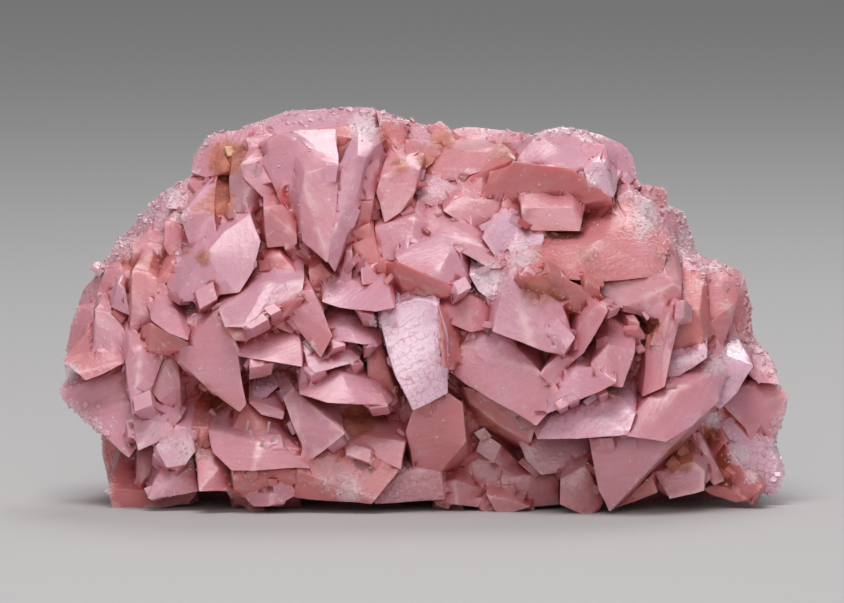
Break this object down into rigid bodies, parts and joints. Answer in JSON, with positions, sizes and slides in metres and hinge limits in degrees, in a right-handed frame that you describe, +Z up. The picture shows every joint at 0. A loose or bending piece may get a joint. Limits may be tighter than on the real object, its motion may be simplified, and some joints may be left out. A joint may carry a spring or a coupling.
{
  "type": "rhodochrosite mineral specimen",
  "caption": "Free-standing mound of intergrown pink rhombohedral crystals on a broken back, cut off flat underneath so that it stands by itself.",
  "frame": {"origin": "centre of the bounding box's underside, on the surface the specimen stands on", "axes": "+Z up, +X along the specimen's length to the right as its crystal face is looked at, +Y towards its broken back; the crystals face -Y"},
  "size_m": [0.091, 0.0511, 0.049],
  "materials": {
    "rhodochrosite": "satin to pearly pink carbonate crystals, slightly translucent at their edges, with rusty stain in the hollows"
  },
  "bodies": {
    "root": {"rhodochrosite_cluster": "rhodochrosite"}
  },
  "joints": []
}
